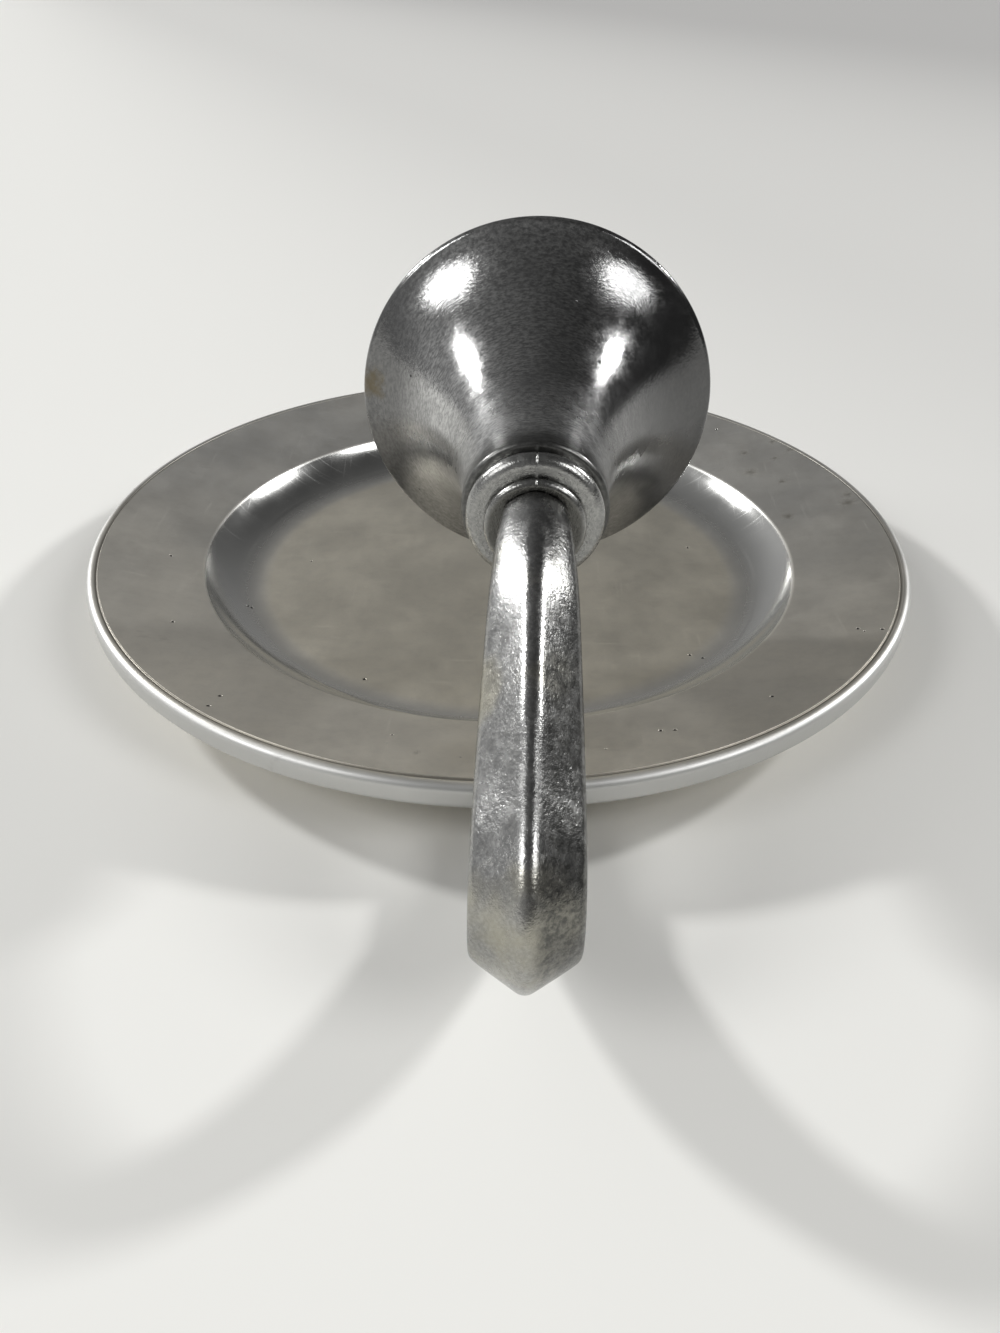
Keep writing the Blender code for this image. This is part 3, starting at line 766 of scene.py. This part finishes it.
def cup_profile():
    """Outside from rim to base, the bore, the socket and its ledge, the inside of the flare and the lip.

    The flare's heights crowd towards the rim by a power, because it bends most there.
    """
    crowding = 1.6
    down = cup_length - (cup_length - cup_straight) * np.linspace(0, 1, 90) ** crowding
    outside = np.column_stack((flare(down), down))
    socket_top = cup_base_thickness + socket_depth
    up = cup_length - (cup_length - socket_top - cup_wall) * np.linspace(1, 0, 60) ** crowding
    tilt = flare_tilt(up)
    inside = np.column_stack((flare(up) - cup_wall * np.cos(tilt), up + cup_wall * np.sin(tilt)))
    lip_tilt = math.degrees(flare_tilt(np.array(cup_length)))
    lip = arc((outside[0] + inside[-1]) / 2, cup_wall / 2, 180 - lip_tilt, -lip_tilt, 14)[1:-1]
    base = arc((cup_body_radius - cup_base_round, cup_base_round), cup_base_round, 0, -90, 8)
    bore_top = (collar_bore, cup_base_thickness)
    socket_foot = (socket_radius, cup_base_thickness)
    socket_edge = (socket_radius, socket_top)
    return np.vstack((
        outside,
        straight(outside[-1], base[0], 3),
        base,
        straight(base[-1], (collar_bore, 0), 3),
        [(collar_bore, 0), bore_top],
        straight(bore_top, socket_foot, 3),
        [socket_foot],
        straight(socket_foot, socket_edge, 8),
        [socket_edge],
        straight(socket_edge, inside[0], 4),
        inside,
        lip,
    ))


def knocked(points, profile, turn):
    """Dents from knocks: the radius shrinks by a depth times a bell curve of the distance from the knock."""
    radius, height = profile[:, :1], profile[:, 1:]
    knocks = (
        (0.62, 0.0500, 0.00030, 0.0022),
        (2.35, 0.0522, 0.00022, 0.0030),
        (5.4, 0.0380, 0.00012, 0.0060),
    )
    for angle, level, depth, size in knocks:
        gap = np.abs(np.angle(np.exp(1j * (turn - angle)))) * radius
        dent = depth * np.exp(-(gap ** 2 + (height - level) ** 2) / size ** 2)
        points[..., :2] *= (1 - dent / radius)[..., None]
    return points


profile = cup_profile()
turn = full_turn(cup_sides)
cup_points = knocked(turned(profile, turn), profile, turn)
cup = solid(
    "trumpet_cup",
    along_y(cup_points, (arm_middle, cup_low.y, cup_axis_z)),
    grid_faces(len(profile), cup_sides, ring=True),
)


def cup_finish():
    """Turned and polished casting: bright grain drawn out round the axis, brown stains and pits.

    Its two sides and its underside are painted darker as shade; towards its base it is dull, with painted
    shade where it meets the collar.
    """
    grey, dark, brown = (0.58, 0.58, 0.57, 1), (0.22, 0.22, 0.22, 1), (0.16, 0.13, 0.075, 1)
    painted_shade, base_shade_colour = (0.12, 0.12, 0.12, 1), (0.05, 0.05, 0.045, 1)
    stain_place = (-0.0290, -0.0330, 0.0690)
    made, tree = fresh_finish("turned_casting")
    point = place(tree)
    across, along, upright = (axis_of(tree, point, axis) for axis in "XYZ")
    grain = cloud(tree, stretched(tree, point, (900, 2400, 900)), 1, 4, 0.7)
    colour = tinted(tree, rise(tree, grain, 0.34, 0.66, 0.9, 0.0), grey, dark)
    patches = rise(tree, cloud(tree, point, 75, 4, 0.6), 0.46, 0.72, 0.0, 0.45)
    colour = tinted(tree, patches, colour, dark)
    # Painted shade: the cup's two sides and its underside are darkened.
    right = rise(tree, across, arm_middle + 0.006, arm_middle + 0.026, 0.05, 0.95)
    left = rise(tree, across, arm_middle - 0.020, arm_middle - 0.032, 0.0, 0.80)
    under = rise(tree, upright, cup_axis_z - 0.006, cup_axis_z - 0.018, 0.0, 0.70)
    colour = tinted(tree, larger(tree, larger(tree, right, left), under), colour, painted_shade)
    # Painted shade where the base of the cup meets the collar.
    base_shade = rise(tree, along, cup_low.y + 0.0075, cup_low.y + 0.0015, 0.0, 0.75)
    colour = tinted(tree, base_shade, colour, base_shade_colour)
    holes = larger(tree, pits(tree, point, 0.012, 0.0006, 0.40), pits(tree, point, 0.006, 0.0003, 0.30))
    colour = pitted(tree, colour, holes)
    ragged = product(tree, cloud(tree, point, 500, 4), 0.006)
    stain = sum_of(tree, distance_to(tree, point, stain_place), ragged)
    stain = rise(tree, stain, 0.0085, 0.0035, 0.0, 0.8)
    colour = tinted(tree, stain, colour, brown)
    rough = rise(tree, cloud(tree, point, 300, 4, 0.65), 0.3, 0.7, 0.12, 0.21)
    rough = sum_of(tree, rough, rise(tree, along, cup_low.y + 0.030, cup_low.y + 0.010, 0.0, 0.16))
    rough = sum_of(tree, rough, rise(tree, upright, cup_axis_z + 0.006, cup_axis_z - 0.014, 0.0, 0.20))
    rough = sum_of(tree, rough, product(tree, stain, 0.3))
    bumps = relief(tree, cloud(tree, stretched(tree, point, (1100, 2600, 1100)), 1, 3, 0.65), 0.000035)
    bumps = relief(tree, cloud(tree, point, 380, 3), 0.000025, bumps)
    bumps = pit_relief(tree, holes, 0.0002, bumps)
    return as_metal(made, colour, rough, bumps)


finished(cup, cup_finish(), "candle_cup")


# Fasteners
# Plain plated steel: a slotted screw and its washer hold the cup on the tenon, and two slotted screws, sunk
# in the back of the arm's tongue, hold it under the rim. Each lies in its hole with the head on its seat.

washer_low, washer_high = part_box("cup_washer")
washer_bore = 0.0027
socket_head_height = 0.0030
socket_shank = 0.0024
foot_shank = 0.0020
slot_width = 0.0010
slot_depth = 0.0011
fastener_sides = 64
fastener_crease = 25


def washer_profile(outer, bore, thickness, bevel=0.0002):
    """A flat ring with its edges broken."""
    return np.array((
        (bore, thickness), (outer - bevel, thickness), (outer, thickness - bevel), (outer, bevel),
        (outer - bevel, 0), (bore, 0),
    ))


def screw_profile(head_radius, head_height, shank_radius, reach):
    """Domed head above zero, its edge a quarter of an ellipse, and a shank with a chamfered point below."""
    dome = 0.45 * head_height
    flat = 0.6 * head_radius
    chamfer = 0.35 * shank_radius
    t = np.radians(np.linspace(0, 90, 9))
    crown = np.column_stack((
        flat + (head_radius - flat) * np.sin(t), head_height - dome + dome * np.cos(t),
    ))
    return np.vstack((
        [(0, head_height)],
        crown,
        [(head_radius, 0), (shank_radius, 0), (shank_radius, chamfer - reach)],
        [(shank_radius - chamfer, -reach), (0, -reach)],
    ))


def slot_bar(name, centre, size):
    """A bar as wide and deep as a screw's slot."""
    sign = np.array([(-1, -1), (1, -1), (1, 1), (-1, 1)])
    ring = np.concatenate((np.column_stack((sign, -np.ones(4))), np.column_stack((sign, np.ones(4)))))
    return solid(name, ring * np.array(size) / 2 + np.array(centre), grid_faces(2, 4) + end_caps(2, 4))


def fastener_finish():
    """Dull plated steel under a thin brownish film, with fine marks and specks of dirt."""
    plating, film_tone, dirt = (0.42, 0.41, 0.39, 1), (0.27, 0.26, 0.23, 1), (0.08, 0.065, 0.045, 1)
    made, tree = fresh_finish("plated_steel")
    point = place(tree)
    film = rise(tree, cloud(tree, point, 260, 4, 0.6), 0.35, 0.70)
    colour = tinted(tree, film, plating, film_tone)
    specks = pits(tree, point, 0.0016, 0.00022, 0.4)
    colour = tinted(tree, product(tree, specks, 0.8), colour, dirt)
    rough = rise(tree, film, 0, 1, 0.26, 0.42)
    bumps = relief(tree, cloud(tree, point, 2600, 3, 0.6), 0.00002)
    return as_metal(made, colour, rough, bumps)


plated = fastener_finish()
fastener_turn = full_turn(fastener_sides)
washer_ring = washer_profile((washer_high.x - washer_low.x) / 2, washer_bore, washer_high.y - washer_low.y)
washer = solid(
    "socket_washer",
    along_y(turned(washer_ring, fastener_turn), (arm_middle, washer_low.y, cup_axis_z)),
    grid_faces(len(washer_ring), fastener_sides, ring=True),
)
finished(washer, plated, "cup_washer", fastener_crease)

screw_low, screw_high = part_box("cup_screw")
head_radius = (screw_high.x - screw_low.x) / 2
reach = screw_high.y - screw_low.y - socket_head_height
profile = screw_profile(head_radius, socket_head_height, socket_shank, reach)
seat = (arm_middle, screw_high.y - socket_head_height, cup_axis_z)
points = along_y(turned(profile, fastener_turn), seat)
socket_screw = solid("socket_screw", points, grid_faces(len(profile), fastener_sides))
slot_size = (slot_width, 2 * slot_depth, 3 * head_radius)
worked(socket_screw, slot_bar("saw", (arm_middle, screw_high.y, cup_axis_z), slot_size))
finished(socket_screw, plated, "cup_screw", fastener_crease)

for number in (1, 2):
    screw_low, screw_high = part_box(f"foot_screw_{number}")
    across, along = (screw_low + screw_high).xy / 2
    head_radius = (screw_high.x - screw_low.x) / 2
    reach = screw_high.z - screw_low.z - foot_head_height
    profile = screw_profile(head_radius, foot_head_height, foot_shank, reach)
    points = turned(profile, fastener_turn) * (1, -1, -1) + (across, along, screw_low.z + foot_head_height)
    foot_screw = solid(f"rim_screw_{number}", points, grid_faces(len(profile), fastener_sides))
    slot_size = (slot_width, 3 * head_radius, 2 * slot_depth)
    worked(foot_screw, slot_bar("saw", (across, along, screw_low.z), slot_size))
    finished(foot_screw, plated, f"foot_screw_{number}", fastener_crease)


# Table, lamps and camera
# A plain pale table, a pair of small lamps and a pair of broad ones left and right of the plate, and a
# camera close to the arm's end that looks down on it.

table_half = 9.0
table_z = -0.0002


def table_finish():
    """Matt pale paint, with painted shade that greys it towards the far right in two smooth steps, one after
    the other.
    """
    near, far = (0.89, 0.885, 0.85, 1), (0.50, 0.495, 0.485, 1)
    made, tree = fresh_finish("pale_table")
    away = axis_of(tree, stretched(tree, place(tree), (1, 1, 0), (0, 0, -0.45)), "X")
    # Painted shade: the table greys towards the far right.
    share = sum_of(tree, rise(tree, away, -0.10, 0.35, 0.0, 0.45), rise(tree, away, 0.35, 1.60, 0.0, 0.55))
    shader = tree.nodes["Principled BSDF"]
    tree.links.new(tinted(tree, share, near, far), shader.inputs["Base Color"])
    shader.inputs["Roughness"].default_value = 0.7
    return made


table_mesh = bpy.data.meshes.new("table")
table_corners = np.array([(-1, -1), (1, -1), (1, 1), (-1, 1)]) * table_half
table_mesh.from_pydata([(x, y, table_z) for x, y in table_corners], [], [(0, 1, 2, 3)])
table_mesh.materials.append(table_finish())
table = bpy.data.objects.new("table", table_mesh)
bpy.context.scene.collection.objects.link(table)


def lamp(name, azimuth, elevation, spread, strength):
    """A distant soft lamp: its bearing from +Y towards +X, its height and its width in degrees."""
    light = bpy.data.lights.new(name, "SUN")
    light.energy = strength
    light.angle = math.radians(spread)
    a, e = math.radians(azimuth), math.radians(elevation)
    toward = Vector((math.sin(a) * math.cos(e), math.cos(a) * math.cos(e), math.sin(e)))
    holder = bpy.data.objects.new(name, light)
    holder.rotation_mode = "QUATERNION"
    holder.rotation_quaternion = toward.to_track_quat("Z", "Y")
    bpy.context.scene.collection.objects.link(holder)


lamp("broad_left", -116, 38, 24, 0.85)
lamp("broad_right", 116, 40, 24, 0.85)
lamp("small_left", -62, 29, 6, 1.55)
lamp("small_right", 65, 29, 6, 1.35)

world = bpy.data.worlds.new("room")
world.use_nodes = True
bpy.context.scene.world = world
tree = world.node_tree
heading = tree.nodes.new("ShaderNodeTexCoord").outputs["Generated"]
side = rise(tree, axis_of(tree, heading, "X"), -0.9, 0.7, 0.42, 0.09)
ceiling = rise(tree, axis_of(tree, heading, "Z"), 0.15, 0.85, 1.0, 0.50)
level = product(tree, side, ceiling)
room_grey = wired(tree, "ShaderNodeCombineColor", {0: level, 1: level, 2: level})
tree.links.new(room_grey, tree.nodes["Background"].inputs[0])

lens = bpy.data.cameras.new("camera")
lens.lens = 27.0
lens.sensor_width = 36.0
lens.clip_start = 0.01
camera = bpy.data.objects.new("camera", lens)
camera.location = (0.00718, -0.2510, 0.1498)
camera.rotation_euler = (math.radians(54.048), math.radians(-0.561), math.radians(1.894))
bpy.context.scene.collection.objects.link(camera)
bpy.context.scene.camera = camera
bpy.context.scene.view_settings.view_transform = "Standard"
